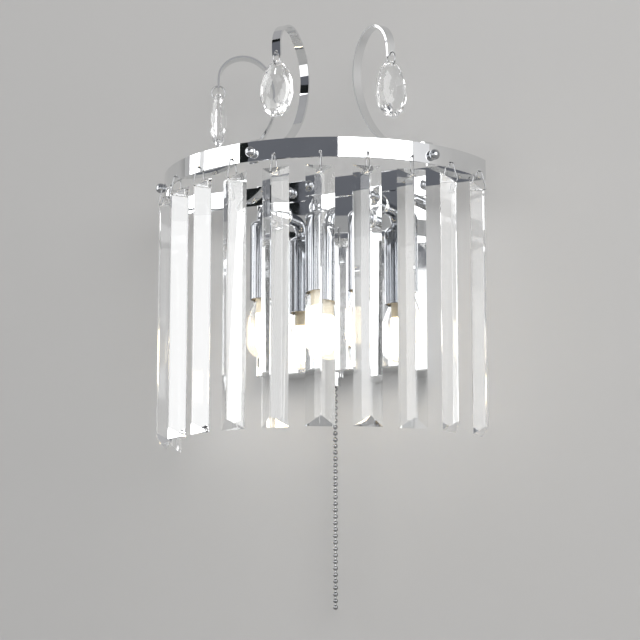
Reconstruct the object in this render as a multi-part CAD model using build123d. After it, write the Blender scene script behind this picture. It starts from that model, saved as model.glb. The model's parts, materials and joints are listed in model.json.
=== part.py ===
from build123d import *
import math
import os

# Two-lamp wall sconce in millimetres. The wall is the plane y = 0, the room lies towards -y,
# and z = 0 is the middle of the backplate. A chrome backplate carries a D-shaped band with a
# curtain of crystal prisms, three scrolled strips with crystal drops, two capsule lamps that
# point down and a pull-chain switch.

# Backplate, a shallow box that is open to the wall
plate_width = 112.0
plate_height = 132.0
plate_depth = 22.0
plate_wall = 1.2
plate_edge_radius = 1.0

# Band, a flat strip bent into a closed D whose straight bar lies on the backplate
ring_radius = 112.5
ring_axis_setback = 3.0
band_height = 12.5
band_thickness = 1.5
band_reveal = 2.0
corner_radius = 2.0

# Ball nuts, and the screws that they close
nut_radius = 3.3
nut_face_radius = 2.4
nut_bore_depth = 3.9
screw_radius = 1.9
screw_clearance = 0.1
screw_head_radius = 3.2
screw_head_height = 2.0
screw_tip_gap = 0.5
band_screw_rise = 5.5
bar_screw_spacing = 58.0

# Crystal prisms, triangular bars with mitred ends that hang apex outwards, each a little turned
prism_count = 12
prism_step_angle = 15.0
prism_turns = (14.0, 14.0, 18.0, 18.0, 2.0, -2.0, -5.0, 9.0, 1.0, -16.0, 20.0, 12.0)
prism_width = 18.9
prism_depth = 7.4
prism_length = 162.0
prism_mitre = 6.0
prism_bevel = 0.45
prism_gap = 4.5
prism_hole_radius = 0.7
prism_hole_drop = 5.0

# Wire clips that hang the prisms in holes of the band
wire_radius = 0.4
wire_bend_radius = 1.3
clip_hole_radius = 1.0
clip_hole_rise = 3.0
clip_reach_top = 1.7
clip_reach_bottom = 1.8
clip_entry = 1.6

# Scrolled strips, each turned a little about its screw, the way its nut was tightened
scroll_step_angle = 60.0
scroll_leans = {"left": 8.6, "front": 1.5, "right": 4.5}
strip_width = 6.0
strip_thickness = 1.5
strip_seat_gap = 0.05
strip_heel_radius = 3.5
strip_foot_below_screw = 6.3
strip_rise = 2.0
scroll_ledge = 7.0
scroll_sweep_radius = 63.0
scroll_sweep_turn = 80.5
scroll_bow_radius = 33.0
scroll_bow_turn = 62.0
scroll_crook_radius = 16.7
scroll_tip_length = 7.2
strip_hole_radius = 1.2
strip_hole_edge = 2.5

# Crystal drops and the rings that carry them
drop_width = 23.0
drop_height = 38.0
drop_thickness = 11.0
drop_girdle = 2.0
drop_sides = 12
drop_fullness = 0.12
drop_table_share = 0.45
drop_crown_share = 0.78
drop_hole_radius = 1.3
drop_hole_edge = 2.9
drop_ring_radius = 4.5
drop_ring_wire = 0.5
drop_ring_sag = 0.35

# Lamps: bent tube arm, chrome sleeve, ceramic holder, and a bulb of a glowing rod in a glass
lamp_spacing = 72.0
lamp_reach = 28.0
arm_radius = 4.0
arm_wall = 1.0
arm_gap = 4.5
arm_bend_radius = 9.0
arm_tail = 7.0
arm_fit = 0.1
collar_radius = 7.0
collar_height = 2.0
arm_nut_flats = 11.0
arm_nut_height = 3.0
neck_length = 1.0
neck_entry = 5.5
sleeve_radius = 8.5
sleeve_wall = 0.8
sleeve_length = 52.5
sleeve_shoulder = 4.0
holder_clearance = 0.3
holder_recess = 1.0
holder_length = 30.0
bulb_radius = 10.5
bulb_wall = 0.8
bulb_base_radius = 5.6
bulb_base_length = 11.0
bulb_flare = 12.5
bulb_length = 39.0
bulb_rod_radius = 4.4
bulb_rod_gap = 6.0
bulb_pin_radius = 0.6
bulb_pin_length = 5.0
bulb_pin_spacing = 9.0
bulb_pin_clearance = 0.2

# Wall bracket and what it carries inside the backplate
bracket_height = 50.0
bracket_thickness = 1.5
bracket_clearance = 0.3
bracket_ear_height = 20.0
bracket_ear_depth = 16.0
wall_slot_spacing = 60.0
wall_slot_length = 10.0
wall_slot_radius = 2.5
cable_hole_radius = 8.0
side_screw_depth = 10.0
side_head_radius = 4.0
side_head_height = 3.0
side_screw_tip = 3.0
terminal_width = 24.0
terminal_height = 10.0
terminal_depth = 12.0
terminal_rise = 17.0
terminal_ways = 3
terminal_hole_radius = 1.6
earth_offset = 17.0
earth_radius = 2.0
earth_length = 6.0
lead_radius = 1.0
lead_bend_radius = 5.0
lead_front = 8.0
lead_rise = 9.0
lead_entry = 4.0

# Pull switch, its bush, locknut and ball chain
switch_front = 15.0
switch_width = 22.0
switch_thickness = 11.0
switch_height = 26.0
bush_radius = 4.5
bush_fit = 0.05
bush_bore_radius = 2.2
bush_length = 4.0
bell_radius = 3.4
bell_length = 4.8
bell_lip = 0.6
bell_lip_height = 1.2
locknut_radius = 5.5
locknut_height = 3.2
locknut_ribs = 18
locknut_rib_radius = 0.3
bead_radius = 1.6
bead_pitch = 4.2
bead_count = 40
link_radius = 0.5
chain_head_room = 5.0
chain_stow = 9.0

# Places that follow from the sizes above
plate_top = plate_height / 2
plate_bottom = -plate_height / 2
plate_face = -plate_depth
ring_axis_y = plate_face + ring_axis_setback
band_base = plate_top - band_reveal - band_height
band_inner = ring_radius - band_thickness
band_middle = ring_radius - band_thickness / 2
bar_face = plate_face - band_thickness
screw_hole_radius = screw_radius + screw_clearance
band_screw_z = band_base + band_screw_rise
bar_screw_z = band_base + band_height / 2
pivot_z = band_base + clip_hole_rise
prism_top = band_base - prism_gap
prism_bottom = prism_top - prism_length
prism_hole_z = prism_top - prism_hole_drop
arm_z = band_base - arm_gap - arm_radius
lamp_y = plate_face - lamp_reach
sleeve_top = arm_z - arm_bend_radius - neck_length
sleeve_rim = sleeve_top - sleeve_length
holder_bottom = sleeve_rim + holder_recess
bulb_tip = sleeve_rim - bulb_length
switch_y = -switch_front
switch_floor = plate_bottom + plate_wall
bell_end = plate_bottom - bush_length - bell_length
chain_top = switch_floor + chain_stow

# The prism's back stands where its centre of mass hangs plumb under the band's middle
prism_lead = prism_depth * (prism_length - prism_mitre) / (3 * prism_length - 2 * prism_mitre)
prism_back = band_middle - prism_lead

prism_angles = [prism_step_angle * (index - (prism_count - 1) / 2) for index in range(prism_count)]
sides = {"left": -1, "right": 1}
scroll_angles = {"left": -scroll_step_angle, "front": 0.0, "right": scroll_step_angle}

# Sketch plane of a radius of the band: first coordinate outwards, second upwards
radial = Plane(origin=(0, 0, 0), x_dir=(0, -1, 0), z_dir=(-1, 0, 0))


def around(angle):
    """Turn a piece that is drawn at the front of the band to its place on the band."""
    return Pos(0, ring_axis_y, 0) * Rot(0, 0, angle)


def bar_y(radius, start, end):
    """Round bar along y between two y values."""
    return Pos(0, (start + end) / 2, 0) * Rot(90, 0, 0) * Cylinder(radius, abs(end - start))


def radial_bar(radius, start, end, height):
    """Round bar along a radius of the band, drawn at the front."""
    return Pos(0, 0, height) * bar_y(radius, -start, -end)


def wire(path, radius):
    """Round wire along a path."""
    return sweep(Plane(path @ 0, z_dir=path % 0) * Circle(radius), path=path)


def tube(radius, bore, length):
    """Upright tube that stands on z = 0."""
    seat = (Align.CENTER, Align.CENTER, Align.MIN)
    return Cylinder(radius, length, align=seat) - Cylinder(bore, length, align=seat)


def group(pieces):
    """Separate solids that share one node."""
    return Compound(children=list(pieces))


def backplate():
    """Open-backed box with holes for the bar screws, lamp arms, side screws and switch."""
    to_wall = (Align.CENTER, Align.MAX, Align.CENTER)
    shell = Box(plate_width, plate_depth, plate_height, align=to_wall)
    rounded = shell.edges() - shell.faces().sort_by(Axis.Y)[-1].edges()
    shell = fillet(rounded, plate_edge_radius)
    inner_width = plate_width - 2 * plate_wall
    inner_height = plate_height - 2 * plate_wall
    shell -= Box(inner_width, plate_depth - plate_wall, inner_height, align=to_wall)
    behind_face = plate_face + 2 * plate_wall
    for side in sides.values():
        screw_x = side * bar_screw_spacing / 2
        shell -= Pos(screw_x, 0, bar_screw_z) * bar_y(screw_hole_radius, 2 * plate_face, behind_face)
        arm_x = side * lamp_spacing / 2
        shell -= Pos(arm_x, 0, arm_z) * bar_y(arm_radius + arm_fit, 2 * plate_face, behind_face)
        edge = Pos(side * plate_width / 2, -side_screw_depth, 0) * Rot(0, 90, 0)
        shell -= edge * Cylinder(screw_hole_radius, 4 * plate_wall)
    shell -= Pos(0, switch_y, plate_bottom) * Cylinder(bush_radius + bush_fit, 4 * plate_wall)
    return shell


def wall_bracket():
    """Flat strap on the wall with slots for wall screws and two ears that hold the backplate."""
    to_wall = (Align.CENTER, Align.MAX, Align.CENTER)
    width = plate_width - 2 * plate_wall - 2 * bracket_clearance
    strap = Box(width, bracket_thickness, bracket_height, align=to_wall)
    through = 2 * bracket_thickness
    strap -= bar_y(cable_hole_radius, -through, through)
    strap -= Pos(-earth_offset, 0, -earth_offset) * bar_y(earth_radius + bush_fit, -through, through)
    slot = Rot(90, 0, 0) * extrude(SlotOverall(wall_slot_length, 2 * wall_slot_radius), through, both=True)
    for side in sides.values():
        strap -= Pos(side * wall_slot_spacing / 2, 0, 0) * slot
        ear = Box(bracket_thickness, bracket_ear_depth, bracket_ear_height, align=to_wall)
        ear = Pos(side * (width - bracket_thickness) / 2, 0, 0) * ear
        hole = Rot(0, 90, 0) * Cylinder(screw_hole_radius, 4 * bracket_thickness)
        strap += ear - Pos(side * width / 2, -side_screw_depth, 0) * hole
    return strap


def side_screws():
    """Knurled screws through the sides of the backplate into the bracket's ears."""
    screws = []
    for side in sides.values():
        head = Cylinder(side_head_radius, side_head_height, align=(Align.CENTER, Align.CENTER, Align.MIN))
        head = chamfer(head.edges().group_by(Axis.Z)[-1], side_head_height / 5)
        shank_length = plate_wall + bracket_clearance + bracket_thickness + side_screw_tip
        shank = Cylinder(screw_radius, shank_length, align=(Align.CENTER, Align.CENTER, Align.MAX))
        screws.append(Pos(side * plate_width / 2, -side_screw_depth, 0) * Rot(0, side * 90, 0) * (head + shank))
    return group(screws)


def terminal_block():
    """Terminal strip on the bracket, with a wire hole and a screw well for each way."""
    block = Box(terminal_width, terminal_depth, terminal_height, align=(Align.CENTER, Align.MAX, Align.CENTER))
    block = fillet(block.edges().filter_by(Axis.Z), terminal_hole_radius / 2)
    pitch = terminal_width / terminal_ways
    for way in range(terminal_ways):
        way_x = pitch * (way - (terminal_ways - 1) / 2)
        block -= Pos(way_x, -terminal_depth / 3, 0) * Cylinder(terminal_hole_radius, 2 * terminal_height)
        well = bar_y(terminal_hole_radius, -terminal_depth, -terminal_depth / 3)
        block -= Pos(way_x, 0, 0) * well
    return Pos(0, -bracket_thickness, terminal_rise) * block


def earth_screw():
    """Brass earthing screw in the bracket."""
    head = bar_y(2 * earth_radius, -bracket_thickness - earth_radius, -bracket_thickness)
    shank = bar_y(earth_radius, -earth_length, 0)
    return Pos(-earth_offset, 0, -earth_offset) * (head + shank)


def inner_leads():
    """Leads from the terminal strip to the two lamp arms and to the switch."""
    leads = []
    block_top = terminal_rise + terminal_height / 2
    block_floor = terminal_rise - terminal_height / 2
    way_pitch = terminal_width / terminal_ways
    for side in sides.values():
        start_x = side * way_pitch / 2
        arm_x = side * lamp_spacing / 2
        path = FilletPolyline(
            (start_x, -lead_front, block_top),
            (start_x, -lead_front, block_top + lead_rise),
            (arm_x, -lead_front, arm_z),
            (arm_x, plate_face - lead_entry, arm_z),
            radius=lead_bend_radius,
        )
        leads.append(wire(path, lead_radius))
    switch_top = switch_floor + switch_height
    path = FilletPolyline(
        (0, -lead_front, block_floor),
        (0, -lead_front, switch_top + 2 * lead_rise),
        (0, switch_y, switch_top + lead_rise),
        (0, switch_y, switch_top),
        radius=lead_bend_radius / 2,
    )
    leads.append(wire(path, lead_radius))
    return group(leads)


def band_frame():
    """Closed D of flat strip, drilled for the prism clips, the scrolls and the backplate."""
    room_side = Pos(0, plate_face - 2 * ring_radius) * Rectangle(4 * ring_radius, 4 * ring_radius)
    outline = (Pos(0, ring_axis_y) * Circle(ring_radius)) & room_side
    outline = fillet(outline.vertices(), corner_radius)
    band = Pos(0, 0, band_base) * extrude(outline - offset(outline, -band_thickness), band_height)
    inside = band_inner - band_thickness
    outside = ring_radius + band_thickness
    for angle in prism_angles:
        band -= around(angle) * radial_bar(clip_hole_radius, inside, outside, pivot_z)
    for angle in scroll_angles.values():
        band -= around(angle) * radial_bar(screw_hole_radius, inside, outside, band_screw_z)
    for side in sides.values():
        hole = bar_y(screw_hole_radius, bar_face - band_thickness, plate_face + band_thickness)
        band -= Pos(side * bar_screw_spacing / 2, 0, bar_screw_z) * hole
    return band


def ball_nut():
    """Round nut with a flat seat at y = 0 and a blind bore."""
    seat = math.sqrt(nut_radius ** 2 - nut_face_radius ** 2)
    nut = Pos(0, -seat, 0) * Sphere(nut_radius)
    nut -= Pos(0, nut_radius, 0) * Box(2 * nut_radius, 2 * nut_radius, 2 * nut_radius)
    return nut - bar_y(screw_hole_radius, -nut_bore_depth, 0)


def ball_nuts():
    """Ball nuts on the curved band and on its straight bar."""
    nuts = [around(a) * Pos(0, -ring_radius, band_screw_z) * ball_nut() for a in scroll_angles.values()]
    nuts += [Pos(side * bar_screw_spacing / 2, bar_face, bar_screw_z) * ball_nut() for side in sides.values()]
    return group(nuts)


def pan_screw(grip):
    """Screw with its head's underside at y = 0 and its shank towards -y, for a given grip."""
    head = Pos(0, screw_head_height / 2, 0) * Rot(90, 0, 0) * Cylinder(screw_head_radius, screw_head_height)
    head = fillet(head.edges().group_by(Axis.Y)[-1], screw_head_height / 3)
    return head + bar_y(screw_radius, -grip - nut_bore_depth + screw_tip_gap, 0)


# The foot of a leaning strip clears the band's round at the band's upper edge
most_lean = math.radians(max(scroll_leans.values()))
foot_spread = strip_width / 2 + (band_height - band_screw_rise) * math.sin(most_lean)
strip_outer = math.sqrt(band_inner ** 2 - foot_spread ** 2) - strip_seat_gap
strip_inner = strip_outer - strip_thickness


def band_screws():
    """Screws from inside the band through the feet of the scrolls."""
    screw = pan_screw(ring_radius - strip_inner)
    return group(around(a) * Pos(0, -strip_inner, band_screw_z) * screw for a in scroll_angles.values())


def bar_screws():
    """Screws from inside the backplate through its face and the bar."""
    seat = plate_face + plate_wall
    screw = pan_screw(seat - bar_face)
    return group(Pos(side * bar_screw_spacing / 2, seat, bar_screw_z) * screw for side in sides.values())


def scroll_line():
    """Middle line of a scroll from its foot to its tip, in radius and height."""
    middle = strip_outer - strip_thickness / 2
    floor = band_base + band_height + strip_rise
    foot = Line((middle, band_screw_z - strip_foot_below_screw), (middle, floor - strip_heel_radius))
    heel = JernArc(foot @ 1, foot % 1, strip_heel_radius, 90)
    ledge = Line(heel @ 1, (heel @ 1) - Vector(scroll_ledge, 0))
    rise = JernArc(ledge @ 1, ledge % 1, scroll_sweep_radius, -scroll_sweep_turn)
    bow = JernArc(rise @ 1, rise % 1, scroll_bow_radius, -scroll_bow_turn)
    crook_turn = 270 - scroll_sweep_turn - scroll_bow_turn
    crook = JernArc(bow @ 1, bow % 1, scroll_crook_radius, -crook_turn)
    tip = Line(crook @ 1, (crook @ 1) - Vector(0, scroll_tip_length))
    return [foot, heel, ledge, rise, bow, crook, tip]


scroll_end = scroll_line()[-1] @ 1
scroll_tip_radius = scroll_end.X
drop_pivot_z = scroll_end.Y + strip_hole_edge


def scroll_place(name):
    """Place of a scroll on the band, turned about its screw by its lean."""
    lean = Pos(0, 0, band_screw_z) * Rot(0, -scroll_leans[name], 0) * Pos(0, 0, -band_screw_z)
    return around(scroll_angles[name]) * lean


def drop_place(name):
    """Place of a drop that hangs plumb from the tip of a leaning scroll."""
    lean = math.radians(scroll_leans[name])
    reach = drop_pivot_z - band_screw_z
    return around(scroll_angles[name]) * Pos(-reach * math.sin(lean), 0, reach * (math.cos(lean) - 1))


def scroll():
    """Flat strip that rises from the band, sweeps inwards and curls over to a drilled tip."""
    profile = trace(scroll_line(), line_width=strip_thickness)
    strip = extrude(radial * profile, strip_width / 2, both=True)
    strip -= radial_bar(screw_hole_radius, strip_inner - strip_thickness, ring_radius, band_screw_z)
    tip_start = scroll_tip_radius - strip_thickness
    tip_end = scroll_tip_radius + strip_thickness
    return strip - radial_bar(strip_hole_radius, tip_start, tip_end, drop_pivot_z)


def drop_ring():
    """Wire ring through the scroll's tip and the drop."""
    ring = Torus(drop_ring_radius, drop_ring_wire)
    return Pos(0, -scroll_tip_radius, drop_pivot_z - drop_ring_radius) * Rot(0, 90, 0) * ring


def drop_outline(scale, offset_y):
    """Pear outline of a drop, as a face that stands across the radius."""
    points = []
    for corner in range(drop_sides):
        turn = 2 * math.pi * (corner + 0.5) / drop_sides
        across = drop_width / 2 * math.sin(turn) * (1 - drop_fullness * math.cos(turn))
        points.append((scale * across, offset_y, scale * drop_height / 2 * math.cos(turn)))
    return make_face(Polyline(*points, close=True))


def drop():
    """Crystal drop cut with two rings of facets round a flat table on each face."""
    half = drop_thickness / 2
    girdle = drop_girdle / 2
    shoulder = (half + girdle) / 2 + girdle / 2
    cuts = [(drop_table_share, -half), (drop_crown_share, -shoulder), (1.0, -girdle)]
    cuts += [(scale, -place) for scale, place in reversed(cuts)]
    crystal = loft([drop_outline(scale, place) for scale, place in cuts], ruled=True)
    top = crystal.bounding_box().max.Z
    hole_z = drop_pivot_z - 2 * drop_ring_radius + drop_ring_sag
    crystal = Pos(0, 0, hole_z + drop_hole_edge - top) * crystal
    crystal -= Pos(0, 0, hole_z) * bar_y(drop_hole_radius, -drop_thickness, drop_thickness)
    return Pos(0, -scroll_tip_radius, 0) * crystal


def prism_place(index):
    """Place of a prism and its clip on the band, turned about the upright line through the clip's hole."""
    turn = Rot(0, 0, prism_turns[index % len(prism_turns)])
    return around(prism_angles[index]) * Pos(0, -band_middle, 0) * turn * Pos(0, band_middle, 0)


def prism():
    """Triangular crystal bar with mitred ends, its flat back towards the wall."""
    half = prism_width / 2
    apex = prism_back + prism_depth
    section = make_face(Polyline((-half, -prism_back), (half, -prism_back), (0, -apex), close=True))
    section = chamfer(section.vertices(), prism_bevel)
    bar = Pos(0, 0, prism_bottom) * extrude(section, prism_length)
    corners = (
        (prism_back, prism_bottom),
        (prism_back, prism_top),
        (apex, prism_top - prism_mitre),
        (apex, prism_bottom + prism_mitre),
    )
    bar &= extrude(radial * make_face(Polyline(*corners, close=True)), prism_width, both=True)
    return bar - radial_bar(prism_hole_radius, prism_back - prism_depth, apex, prism_hole_z)


def prism_clip():
    """Bent wire that passes through the band and pinches the prism's hole from both sides."""
    mitre = prism_back + prism_depth * prism_hole_drop / prism_mitre
    path = radial * FilletPolyline(
        (prism_back + clip_entry, prism_hole_z),
        (prism_back - clip_reach_bottom, prism_hole_z),
        (band_inner - clip_reach_top, pivot_z),
        (ring_radius + clip_reach_top, pivot_z),
        (mitre + clip_reach_bottom, prism_hole_z),
        (mitre - clip_entry, prism_hole_z),
        radius=wire_bend_radius,
    )
    return wire(path, wire_radius)


def lamp_arm():
    """Tube from inside the backplate that bends down into the lamp's sleeve."""
    start = (0, plate_face + arm_tail, arm_z)
    corner = (0, lamp_y, arm_z)
    end = (0, lamp_y, sleeve_top - neck_entry)
    path = FilletPolyline(start, corner, end, radius=arm_bend_radius)
    return wire(path, arm_radius) - wire(path, arm_radius - arm_wall)


def arm_collars():
    """Collars that close the holes of the arms on the face of the backplate."""
    collar = tube(collar_radius, arm_radius + arm_fit, collar_height)
    collar = fillet(collar.edges().group_by(Axis.Z)[-1].sort_by(SortBy.LENGTH)[-1:], collar_height / 2)
    collar = Pos(0, plate_face, arm_z) * Rot(90, 0, 0) * collar
    return group(Pos(side * lamp_spacing / 2, 0, 0) * collar for side in sides.values())


def arm_nuts():
    """Hexagon nuts on both ends of each arm, one of them with its corners on the sleeve's round."""
    hexagon = RegularPolygon(arm_nut_flats / 2, 6, major_radius=False)
    nut = extrude(hexagon - Circle(arm_radius + arm_fit), arm_nut_height)
    behind_plate = Pos(0, plate_face + plate_wall + arm_nut_height, arm_z) * Rot(90, 0, 0) * nut
    round_radius = sleeve_shoulder - sleeve_wall
    overhang = max(0.0, arm_nut_flats / math.sqrt(3) - (sleeve_radius - sleeve_shoulder))
    seat_drop = round_radius - math.sqrt(round_radius ** 2 - overhang ** 2) + bush_fit
    in_sleeve = Pos(0, lamp_y, sleeve_top - sleeve_wall - seat_drop - arm_nut_height) * nut
    places = [Pos(side * lamp_spacing / 2, 0, 0) for side in sides.values()]
    return group([place * nut for place in places for nut in (behind_plate, in_sleeve)])


def lamp_sleeve():
    """Chrome cup round the lampholder, with a rounded shoulder and a hole for the arm."""
    base = (Align.CENTER, Align.CENTER, Align.MIN)
    outer = Cylinder(sleeve_radius, sleeve_length, align=base)
    outer = fillet(outer.edges().group_by(Axis.Z)[-1], sleeve_shoulder)
    hollow = Cylinder(sleeve_radius - sleeve_wall, sleeve_length - sleeve_wall, align=base)
    hollow = fillet(hollow.edges().group_by(Axis.Z)[-1], sleeve_shoulder - sleeve_wall)
    cup = outer - hollow - Cylinder(arm_radius + arm_fit, 2 * sleeve_length, align=base)
    return Pos(0, lamp_y, sleeve_rim) * cup


def pin_places():
    """Places of the two pins of a bulb, left and right of the lamp's axis."""
    return [Pos(side * bulb_pin_spacing / 2, 0, 0) for side in sides.values()]


def lampholder():
    """Ceramic holder with two pin sockets and a recess that takes the bulb's base."""
    base = (Align.CENTER, Align.CENTER, Align.MIN)
    holder = Cylinder(sleeve_radius - sleeve_wall - holder_clearance, holder_length, align=base)
    holder = fillet(holder.edges().group_by(Axis.Z)[-1], sleeve_wall)
    seat_depth = bulb_base_length - holder_recess
    holder -= Cylinder(bulb_base_radius + holder_clearance, seat_depth, align=base)
    for place in pin_places():
        socket = Cylinder(bulb_pin_radius + bulb_pin_clearance, bulb_pin_length + holder_recess, align=base)
        holder -= place * Pos(0, 0, seat_depth) * socket
    return Pos(0, lamp_y, holder_bottom) * holder


def bulb_outline(inset):
    """Half outline of the bulb's glass from its neck to its round tip, drawn in by an inset."""
    neck = (bulb_base_radius - inset, sleeve_rim)
    flare = (bulb_radius - inset, sleeve_rim - bulb_flare)
    dome = (bulb_radius - inset, bulb_tip + bulb_radius)
    tip = (0, bulb_tip + inset)
    return make_face(
        [
            Line((0, sleeve_rim), neck),
            Line(neck, flare),
            Line(flare, dome),
            RadiusArc(dome, tip, bulb_radius - inset),
            Line(tip, (0, sleeve_rim)),
        ]
    )


def bulb():
    """Clear glass of a capsule bulb, open at the neck where it stands on the bulb's base."""
    glass = revolve(Plane.XZ * (bulb_outline(0) - bulb_outline(bulb_wall)), Axis.Z)
    return Pos(0, lamp_y, 0) * glass


def bulb_core():
    """Base of a capsule bulb with its two pins and the round-ended rod that glows in the glass."""
    base = (Align.CENTER, Align.CENTER, Align.MIN)
    core = Cylinder(bulb_base_radius, bulb_base_length, align=base)
    for place in pin_places():
        core += place * Pos(0, 0, bulb_base_length) * Cylinder(bulb_pin_radius, bulb_pin_length, align=base)
    rod_length = bulb_length - bulb_rod_gap
    rod = Pos(0, 0, -rod_length) * Cylinder(bulb_rod_radius, rod_length, align=base)
    core += fillet(rod.edges().group_by(Axis.Z)[0], bulb_rod_radius / 2)
    return Pos(0, lamp_y, sleeve_rim) * core


def switch_body():
    """Pull switch that stands on the floor of the backplate, bored for the chain."""
    base = (Align.CENTER, Align.CENTER, Align.MIN)
    body = Box(switch_width, switch_thickness, switch_height, align=base)
    body = fillet(body.edges().filter_by(Axis.Z), plate_edge_radius)
    body -= Cylinder(bush_bore_radius, chain_stow + chain_head_room, align=base)
    return Pos(0, switch_y, switch_floor) * body


def switch_bush():
    """Threaded bush through the floor of the backplate, ending in a flared bell mouth."""
    neck = plate_bottom - bush_length
    lip = bell_radius + bell_lip
    points = [
        (bush_bore_radius, switch_floor),
        (bush_radius, switch_floor),
        (bush_radius, neck),
        (bell_radius, neck),
        (bell_radius, bell_end + bell_lip_height),
        (lip, bell_end + bell_lip_height / 2),
        (lip, bell_end),
        (bell_radius, bell_end),
        (bush_bore_radius, bell_end + bell_lip_height),
    ]
    profile = make_face(Plane.XZ * Polyline(*points, close=True))
    return Pos(0, switch_y, 0) * revolve(profile, Axis.Z)


def switch_locknut():
    """Ribbed ring nut that holds the bush against the backplate."""
    ring = Circle(locknut_radius - locknut_rib_radius)
    for rib in range(locknut_ribs):
        rib_place = Rot(0, 0, 360 * rib / locknut_ribs) * Pos(locknut_radius - locknut_rib_radius, 0)
        ring += rib_place * Circle(locknut_rib_radius)
    nut = extrude(ring - Circle(bush_radius + bush_fit), locknut_height)
    return Pos(0, switch_y, plate_bottom - locknut_height) * nut


def pull_chain():
    """Ball chain, its beads on short wire links, from inside the switch to its free end."""
    half_neck = math.sqrt(bead_radius ** 2 - link_radius ** 2)
    edges = []
    for bead in range(bead_count):
        middle = chain_top - bead * bead_pitch
        top = (link_radius, middle + half_neck)
        floor = (link_radius, middle - half_neck)
        edges.append(ThreePointArc(top, (bead_radius, middle), floor))
        if bead < bead_count - 1:
            edges.append(Line(floor, (link_radius, middle - bead_pitch + half_neck)))
    first = edges[0] @ 0
    last = edges[-1] @ 1
    edges.append(Polyline(last, (0, last.Y), (0, first.Y), first))
    return Pos(0, switch_y, 0) * revolve(Plane.XZ * make_face(edges), Axis.Z)


nodes = {
    "backplate": backplate(),
    "wall_bracket": wall_bracket(),
    "side_screws": side_screws(),
    "terminal_block": terminal_block(),
    "earth_screw": earth_screw(),
    "inner_leads": inner_leads(),
    "band_frame": band_frame(),
    "ball_nuts": ball_nuts(),
    "band_screws": band_screws(),
    "bar_screws": bar_screws(),
    "arm_collars": arm_collars(),
    "arm_nuts": arm_nuts(),
    "switch_body": switch_body(),
    "switch_bush": switch_bush(),
    "switch_locknut": switch_locknut(),
    "pull_chain": pull_chain(),
}

for side_name, side in sides.items():
    lamp_place = Pos(side * lamp_spacing / 2, 0, 0)
    nodes["lamp_arm_" + side_name] = lamp_place * lamp_arm()
    nodes["lamp_sleeve_" + side_name] = lamp_place * lamp_sleeve()
    nodes["lampholder_" + side_name] = lamp_place * lampholder()
    nodes["bulb_" + side_name] = lamp_place * bulb()
    nodes["bulb_core_" + side_name] = lamp_place * bulb_core()

for scroll_name in scroll_angles:
    nodes["scroll_" + scroll_name] = scroll_place(scroll_name) * scroll()
    nodes["drop_ring_" + scroll_name] = drop_place(scroll_name) * drop_ring()
    nodes["drop_" + scroll_name] = drop_place(scroll_name) * drop()

for index in range(prism_count):
    nodes[f"prism_{index + 1:02d}"] = prism_place(index) * prism()
    nodes[f"prism_clip_{index + 1:02d}"] = prism_place(index) * prism_clip()

os.makedirs("parts", exist_ok=True)
for name, piece in nodes.items():
    export_step(piece, f"parts/{name}.step")
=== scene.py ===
import bpy
import json
import math
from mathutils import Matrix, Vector


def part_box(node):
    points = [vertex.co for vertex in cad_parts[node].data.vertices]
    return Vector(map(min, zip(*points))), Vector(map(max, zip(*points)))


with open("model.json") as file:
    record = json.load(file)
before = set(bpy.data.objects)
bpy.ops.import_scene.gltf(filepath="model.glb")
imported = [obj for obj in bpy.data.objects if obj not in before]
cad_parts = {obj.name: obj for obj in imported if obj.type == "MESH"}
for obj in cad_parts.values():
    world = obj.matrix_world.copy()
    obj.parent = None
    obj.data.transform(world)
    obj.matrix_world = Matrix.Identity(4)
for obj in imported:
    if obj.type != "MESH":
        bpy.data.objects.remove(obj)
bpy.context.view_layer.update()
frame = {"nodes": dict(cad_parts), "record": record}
nodes = frame["nodes"]
slot_of = {row["node"]: row["material_slot"] for row in frame["record"]["subparts"]}
scene = bpy.context.scene

# Camera at the photograph's viewing angle, a little below the lamp and to its right
camera_place = (0.5779, -1.1905, -0.2596)
camera_tilt = 99.927
camera_turn = 26.621
camera_lens = 112.5
sensor_width = 36.0

# Stage: a wall just behind the backplate and a floor well below the chain
wall_back = 0.0006
wall_half_width = 2.6
wall_top = 2.4
wall_hole_half_width = 0.050
wall_hole_half_height = 0.060
wall_tone = (0.58, 0.58, 0.58, 1.0)
floor_level = -0.46
floor_reach = 3.4
floor_tone = (0.66, 0.66, 0.655, 1.0)
mottle_scale = 6.0
mottle_shade = 0.985
stage_roughness = 0.9
stage_gloss = 0.1

# Soft boxes that the metal and the crystal show: left and right edge in plan, bottom, top, brightness.
# Parts 2 and 5 of the left one are dimmer, because the prisms on the left mirror them
soft_boxes = {
    "left_soft_box_1": ((-0.95, -0.186), (-0.809, -0.338), -0.20, 0.80, 3.2),
    "left_soft_box_2": ((-0.809, -0.338), (-0.758, -0.393), -0.20, 0.295, 0.44),
    "left_soft_box_3": ((-0.809, -0.338), (-0.758, -0.393), 0.295, 0.80, 3.2),
    "left_soft_box_4": ((-0.758, -0.393), (-0.586, -0.579), -0.20, 0.80, 3.2),
    "left_soft_box_5": ((-0.586, -0.579), (-0.538, -0.631), -0.20, 0.80, 1.6),
    "left_soft_box_6": ((-0.538, -0.631), (-0.465, -0.71), -0.20, 0.80, 3.2),
    "right_soft_box": ((0.546, -0.972), (1.05, -0.238), -0.20, 0.80, 3.8),
    "low_soft_box": ((-1.55, -1.94), (1.15, -1.94), -0.45, 0.44, 1.15),
}

# Broad lamps that light the matt surfaces, laid out in the same way, and their tint
broad_lamps = {
    "left_broad_lamp": ((-1.5, -1.1), (-0.8, -1.8), 0.7, 1.4, 1.6, (1.0, 1.0, 1.0)),
    "right_broad_lamp": ((0.9, -2.3), (2.3, -1.1), 0.0, 1.5, 3.4, (1.0, 0.975, 0.945)),
}

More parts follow.
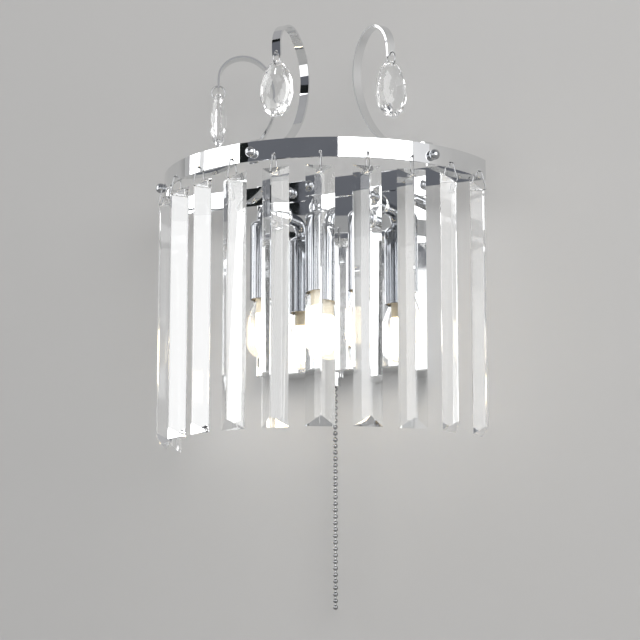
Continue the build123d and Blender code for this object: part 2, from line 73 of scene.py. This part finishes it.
# Panels that the metal shows: slate in front above the low soft box, grey overhead, black beside the left
# soft box, and pale between the right one and the wall
panel_front = -1.95
panel_left = -1.52
panel_right = 1.13
panel_bottom = 0.44
panel_top = 1.45
panel_half_width = 2.4
slate_tone = (0.150, 0.157, 0.177, 1.0)
ceiling_tone = (0.42, 0.42, 0.43, 1.0)

# Upright strips among them: left and right edge in plan, bottom, top, tone
strip_panels = {
    "edge_panel": ((-0.466, -0.715), (-0.405, -0.765), -0.20, 0.80, (0.012, 0.014, 0.014, 1.0)),
    "pale_panel": ((1.05, -0.236), (1.12, -0.004), -0.20, 0.80, (0.92, 0.92, 0.93, 1.0)),
}

# Plain pale grey studio all round
studio_tone = (0.50, 0.50, 0.50, 1.0)

# Light bounces, enough for the turns that light takes inside the crystal
all_bounces = 48
crystal_bounces = 40

# Parts of the noise's range that a finish is spread over, and the noise's detail
wide_noise = (0.3, 0.7)
narrow_noise = (0.35, 0.65)
low_detail = 2.0
fair_detail = 3.0
high_detail = 4.0

# Metals: dark and light tone, least and most roughness, and a grain's scale, strength and stretch
metals = {
    "chrome": ((0.76, 0.77, 0.78, 1.0), (0.83, 0.835, 0.84, 1.0), 0.015, 0.05, None),
    # A darker copy of the chrome, painted shade for the dark surroundings that the arms, sleeves and nuts
    # mirror
    "shaded_chrome": ((0.34, 0.35, 0.37, 1.0), (0.41, 0.42, 0.44, 1.0), 0.02, 0.06, None),
    "wire": ((0.27, 0.275, 0.28, 1.0), (0.35, 0.355, 0.36, 1.0), 0.06, 0.14, None),
    "zinc_steel": ((0.50, 0.51, 0.53, 1.0), (0.68, 0.68, 0.67, 1.0), 0.28, 0.44, (900.0, 0.25, (1, 6, 1))),
    "brass": ((0.36, 0.26, 0.12, 1.0), (0.56, 0.43, 0.22, 1.0), 0.22, 0.40, (1500.0, 0.15, None)),
}
metal_cloud_scale = 45.0
metal_gloss_scale = 210.0
grain_depth = 0.0002

# Nodes that take a darker copy of the chrome, painted shade for the dark room that their chrome mirrors
shaded_chrome_nodes = ("lamp_arm", "lamp_sleeve", "ball_nuts")

# Plastics and ceramic: dark and light tone, least and most roughness, speckles to the metre, unevenness
mouldings = {
    "terminal_plastic": ((0.80, 0.80, 0.76, 1.0), (0.87, 0.87, 0.84, 1.0), 0.40, 0.52, 1400.0, 0.12),
    "switch_plastic": ((0.030, 0.030, 0.033, 1.0), (0.052, 0.052, 0.056, 1.0), 0.38, 0.55, 1600.0, 0.18),
    "lead_plastic": ((0.70, 0.67, 0.60, 1.0), (0.80, 0.78, 0.72, 1.0), 0.36, 0.48, 1200.0, 0.10),
    "ceramic": ((0.46, 0.37, 0.24, 1.0), (0.60, 0.51, 0.36, 1.0), 0.55, 0.75, 1100.0, 0.25),
}

# How much coarser than the speckles their gloss varies, how much finer their skin is, and its depth
gloss_coarser = 3
skin_finer = 2
skin_depth = 0.0003

# Glass: tint, index of refraction, least and most roughness, and tint of its shadow
crystal_look = ((0.985, 0.99, 0.99, 1.0), 1.53, 0.0, 0.006, (0.80, 0.81, 0.82, 1.0))
bulb_look = ((0.99, 0.99, 0.985, 1.0), 1.47, 0.0, 0.01, (0.95, 0.95, 0.95, 1.0))
glass_gloss_scale = 120.0

# Warm light of the bulbs: its colour, and how strongly and from where the rod and the glass glow
lamp_light = (1.0, 0.82, 0.54, 1.0)
rod_glow = 11.0
rod_stem = 0.009
rod_glow_edge = 0.0015
bulb_glow = 0.2
bulb_neck = 0.010

# Base and phosphor rod inside a bulb: dark and light tone of each, speckles to the metre, roughness
base_tones = ((0.72, 0.66, 0.54, 1.0), (0.80, 0.75, 0.64, 1.0))
rod_tones = ((0.95, 0.78, 0.42, 1.0), (1.0, 0.86, 0.55, 1.0))
core_speckle_scale = 900.0
core_roughness = (0.45, 0.65)

# Sockets of the Mix node that carry colours
mix_first = 6
mix_second = 7
mix_result = 2


def add_camera():
    """The camera, turned about the upright axis and tilted up from the level."""
    data = bpy.data.cameras.new("camera")
    data.lens = camera_lens
    data.sensor_width = sensor_width
    camera = bpy.data.objects.new("camera", data)
    camera.location = camera_place
    camera.rotation_euler = (math.radians(camera_tilt), 0, math.radians(camera_turn))
    scene.collection.objects.link(camera)
    scene.camera = camera


def new_tree(name):
    """An empty node material and its tree."""
    material = bpy.data.materials.new(name)
    material.use_nodes = True
    material.node_tree.nodes.clear()
    return material, material.node_tree


def add(tree, kind, settings=None, **values):
    """A node with its settings, and its inputs (Base_Color, or _1) set to values or linked to sockets."""
    node = tree.nodes.new(kind)
    for key, value in (settings or {}).items():
        setattr(node, key, value)
    for key, value in values.items():
        key = int(key[1:]) if key[0] == "_" else key.replace("_", " ")
        if isinstance(value, bpy.types.NodeSocket):
            tree.links.new(value, node.inputs[key])
        else:
            node.inputs[key].default_value = value
    return node


def spread(tree, source, low, high, start=0.0, end=1.0):
    """A value stretched from its own range to another one."""
    node = add(tree, "ShaderNodeMapRange", {"clamp": True}, Value=source)
    node.inputs["From Min"].default_value = start
    node.inputs["From Max"].default_value = end
    node.inputs["To Min"].default_value = low
    node.inputs["To Max"].default_value = high
    return node.outputs["Result"]


def blend_colour(tree, factor, first, second):
    """A colour between two, by a factor."""
    node = add(tree, "ShaderNodeMix", {"data_type": "RGBA"})
    tree.links.new(factor, node.inputs["Factor"])
    for socket, value in ((node.inputs[mix_first], first), (node.inputs[mix_second], second)):
        if isinstance(value, bpy.types.NodeSocket):
            tree.links.new(value, socket)
        else:
            socket.default_value = value
    return node.outputs[mix_result]


def noise(tree, scale, detail, stretch=None):
    """Noise in the object's own space, in features to the metre."""
    place = add(tree, "ShaderNodeTexCoord").outputs["Object"]
    if stretch:
        place = add(tree, "ShaderNodeMapping", Vector=place, Scale=stretch).outputs[0]
    return add(tree, "ShaderNodeTexNoise", Vector=place, Scale=scale, Detail=detail).outputs["Fac"]


def bump(tree, height, strength, distance):
    """A normal from a height."""
    return add(tree, "ShaderNodeBump", Strength=strength, Distance=distance, Height=height).outputs[0]


def height_above_origin(tree):
    """The height of a point in the object's own space."""
    place = add(tree, "ShaderNodeTexCoord").outputs["Object"]
    return add(tree, "ShaderNodeSeparateXYZ", Vector=place).outputs["Z"]


def finish_tree(tree, shader):
    """The shader as the material's surface."""
    add(tree, "ShaderNodeOutputMaterial", Surface=shader)


def metal(name, dark, light, smooth, rough, grain):
    """Metal whose tone and gloss vary softly, with a fine grain if one is given."""
    material, tree = new_tree(name)
    cloud = spread(tree, noise(tree, metal_cloud_scale, fair_detail), 0, 1, *wide_noise)
    tone = blend_colour(tree, cloud, dark, light)
    shine = spread(tree, noise(tree, metal_gloss_scale, high_detail), smooth, rough, *wide_noise)
    shader = add(tree, "ShaderNodeBsdfPrincipled", Base_Color=tone, Roughness=shine, Metallic=1.0)
    if grain:
        scale, strength, stretch = grain
        height = noise(tree, scale, low_detail, stretch)
        tree.links.new(bump(tree, height, strength, grain_depth), shader.inputs["Normal"])
    finish_tree(tree, shader.outputs[0])
    return material


def glass(name, tint, bend, smooth, rough, shade, lit_below=None):
    """Clear glass that lets the lamps' light through, and glows below a height if one is given."""
    material, tree = new_tree(name)
    shine = spread(tree, noise(tree, glass_gloss_scale, low_detail), smooth, rough, *narrow_noise)
    shader = add(
        tree,
        "ShaderNodeBsdfPrincipled",
        Base_Color=tint,
        Roughness=shine,
        IOR=bend,
        Transmission_Weight=1.0,
    )
    if lit_below is not None:
        glow = spread(tree, height_above_origin(tree), bulb_glow, 0.0, lit_below - bulb_neck, lit_below)
        tree.links.new(glow, shader.inputs["Emission Strength"])
        shader.inputs["Emission Color"].default_value = lamp_light
    clear = add(tree, "ShaderNodeBsdfTransparent", Color=shade)
    path = add(tree, "ShaderNodeLightPath")
    mixed = add(
        tree,
        "ShaderNodeMixShader",
        Fac=path.outputs["Is Shadow Ray"],
        _1=shader.outputs[0],
        _2=clear.outputs[0],
    )
    finish_tree(tree, mixed.outputs[0])
    return material


def moulded(name, dark, light, smooth, rough, scale, strength):
    """Plastic or ceramic with a speckled tone and a fine uneven skin."""
    material, tree = new_tree(name)
    speckle = spread(tree, noise(tree, scale, high_detail), 0, 1, *narrow_noise)
    tone = blend_colour(tree, speckle, dark, light)
    shine = spread(tree, noise(tree, scale / gloss_coarser, low_detail), smooth, rough, *wide_noise)
    normal = bump(tree, noise(tree, scale * skin_finer, fair_detail), strength, skin_depth)
    shader = add(tree, "ShaderNodeBsdfPrincipled", Base_Color=tone, Roughness=shine, Normal=normal)
    finish_tree(tree, shader.outputs[0])
    return material


def glowing(name, lit_below):
    """Ceramic base and pale stem, and a warm phosphor glow on the rod below a height."""
    material, tree = new_tree(name)
    below = spread(tree, height_above_origin(tree), 1.0, 0.0, lit_below - rod_glow_edge, lit_below)
    speckle = spread(tree, noise(tree, core_speckle_scale, fair_detail), 0, 1, *narrow_noise)
    base = blend_colour(tree, speckle, *base_tones)
    rod = blend_colour(tree, speckle, *rod_tones)
    shader = add(
        tree,
        "ShaderNodeBsdfPrincipled",
        Base_Color=blend_colour(tree, below, base, rod),
        Roughness=spread(tree, speckle, *core_roughness),
        Emission_Color=lamp_light,
        Emission_Strength=spread(tree, below, 0.0, rod_glow),
    )
    finish_tree(tree, shader.outputs[0])
    return material


def plain_sheet(name, corners, faces, tone, see_through_back):
    """A flat stage mesh with a matt, faintly mottled finish."""
    mesh = bpy.data.meshes.new(name)
    mesh.from_pydata(corners, [], faces)
    sheet = bpy.data.objects.new(name, mesh)
    scene.collection.objects.link(sheet)
    material, tree = new_tree(name)
    mottle = spread(tree, noise(tree, mottle_scale, low_detail), 0, 1, *wide_noise)
    dark = tuple(mottle_shade * value for value in tone[:3]) + (1.0,)
    colour = blend_colour(tree, mottle, dark, tone)
    shader = add(tree, "ShaderNodeBsdfPrincipled", Base_Color=colour, Roughness=stage_roughness)
    shader.inputs["Specular IOR Level"].default_value = stage_gloss
    surface = shader.outputs[0]
    if see_through_back:
        clear = add(tree, "ShaderNodeBsdfTransparent")
        back = add(tree, "ShaderNodeNewGeometry").outputs["Backfacing"]
        surface = add(tree, "ShaderNodeMixShader", Fac=back, _1=surface, _2=clear.outputs[0]).outputs[0]
    finish_tree(tree, surface)
    mesh.materials.append(material)


def rectangle(left, right, bottom, top):
    """The corners of an upright or level rectangle, anticlockwise in its own plane."""
    return [(left, bottom), (right, bottom), (right, top), (left, top)]


def add_stage():
    """The wall, open behind the backplate where nobody sees it from the room, and the floor."""
    outer = rectangle(-wall_half_width, wall_half_width, floor_level, wall_top)
    inner = rectangle(
        -wall_hole_half_width, wall_hole_half_width, -wall_hole_half_height, wall_hole_half_height
    )
    corners = [(x, wall_back, z) for x, z in outer + inner]
    count = len(outer)
    faces = []
    for side in range(count):
        after = (side + 1) % count
        faces.append((side, after, after + count, side + count))
    plain_sheet("wall", corners, faces, wall_tone, True)
    level = rectangle(-wall_half_width, wall_half_width, -floor_reach, wall_back)
    corners = [(x, y, floor_level) for x, y in level]
    plain_sheet("floor", corners, [(0, 1, 2, 3)], floor_tone, False)


def add_lamp(name, left, right, bottom, top, brightness, tint=(1.0, 1.0, 1.0)):
    """An upright flat lamp between two edges, which faces the sconce and isn't seen itself."""
    along = Vector((right[0] - left[0], right[1] - left[1], 0))
    data = bpy.data.lights.new(name, "AREA")
    data.shape = "RECTANGLE"
    data.size = along.length
    data.size_y = top - bottom
    data.energy = brightness * math.pi * along.length * (top - bottom)
    data.color = tint
    lamp = bpy.data.objects.new(name, data)
    lamp.location = ((left[0] + right[0]) / 2, (left[1] + right[1]) / 2, (bottom + top) / 2)
    outwards = Vector((along.y, -along.x, 0))
    lamp.rotation_euler = outwards.to_track_quat("Z", "Y").to_euler()
    lamp.visible_camera = False
    scene.collection.objects.link(lamp)
    return lamp


def add_lights():
    """Soft boxes for the shine and broad lamps for the matt surfaces and the shadows."""
    for name, values in soft_boxes.items():
        add_lamp(name, *values).visible_diffuse = False
    for name, values in broad_lamps.items():
        lamp = add_lamp(name, *values)
        lamp.visible_glossy = False
        lamp.visible_transmission = False


def mirrored_panel(name, corners, tone):
    """A sheet of one tone that only shows in shiny and clear surfaces, and casts no shadow."""
    mesh = bpy.data.meshes.new(name)
    mesh.from_pydata(corners, [], [(0, 1, 2, 3)])
    panel = bpy.data.objects.new(name, mesh)
    scene.collection.objects.link(panel)
    material, tree = new_tree(name)
    finish_tree(tree, add(tree, "ShaderNodeEmission", Color=tone, Strength=1.0).outputs[0])
    mesh.materials.append(material)
    panel.visible_camera = False
    panel.visible_diffuse = False
    panel.visible_shadow = False


def add_panels():
    """The slate panel in front of the sconce, the strips beside the soft boxes and the grey ceiling."""
    upright = rectangle(panel_left, panel_right, panel_bottom, panel_top)
    mirrored_panel("slate_panel", [(x, panel_front, z) for x, z in upright], slate_tone)
    for name, (left, right, bottom, top, tone) in strip_panels.items():
        mirrored_panel(name, [(*left, bottom), (*right, bottom), (*right, top), (*left, top)], tone)
    level = rectangle(-panel_half_width, panel_half_width, panel_front, 0)
    mirrored_panel("ceiling_panel", [(x, y, panel_top) for x, y in level], ceiling_tone)


def add_world():
    """The plain studio round the lamp."""
    world = bpy.data.worlds.new("studio")
    world.use_nodes = True
    scene.world = world
    tree = world.node_tree
    tree.nodes.clear()
    shader = add(tree, "ShaderNodeBackground", Color=studio_tone, Strength=1.0)
    add(tree, "ShaderNodeOutputWorld", Surface=shader.outputs[0])


def paint():
    """A finish for every slot of the record, on every node that names it; the arms, sleeves and ball nuts
    take the darker copy of the chrome, as painted shade.
    """
    lowest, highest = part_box("bulb_left")
    rim = highest[2]
    finishes = {name: metal(name, *values) for name, values in metals.items()}
    finishes.update({name: moulded(name, *values) for name, values in mouldings.items()})
    finishes["crystal"] = glass("crystal", *crystal_look)
    finishes["bulb_glass"] = glass("bulb_glass", *bulb_look, rim - bulb_neck)
    finishes["bulb_core"] = glowing("bulb_core", rim - rod_stem)
    for name, node in nodes.items():
        # The arms, sleeves and ball nuts get the darker chrome, painted shade for the dark room that they
        # mirror
        finish = finishes["shaded_chrome" if name.startswith(shaded_chrome_nodes) else slot_of[name]]
        for slot in node.material_slots:
            slot.material = finish


def set_view():
    """The plain view transform, and enough light bounces for the crystal."""
    scene.view_settings.view_transform = "Standard"
    scene.cycles.max_bounces = all_bounces
    scene.cycles.glossy_bounces = crystal_bounces
    scene.cycles.transmission_bounces = crystal_bounces


add_camera()
add_stage()
add_lights()
add_panels()
add_world()
paint()
set_view()
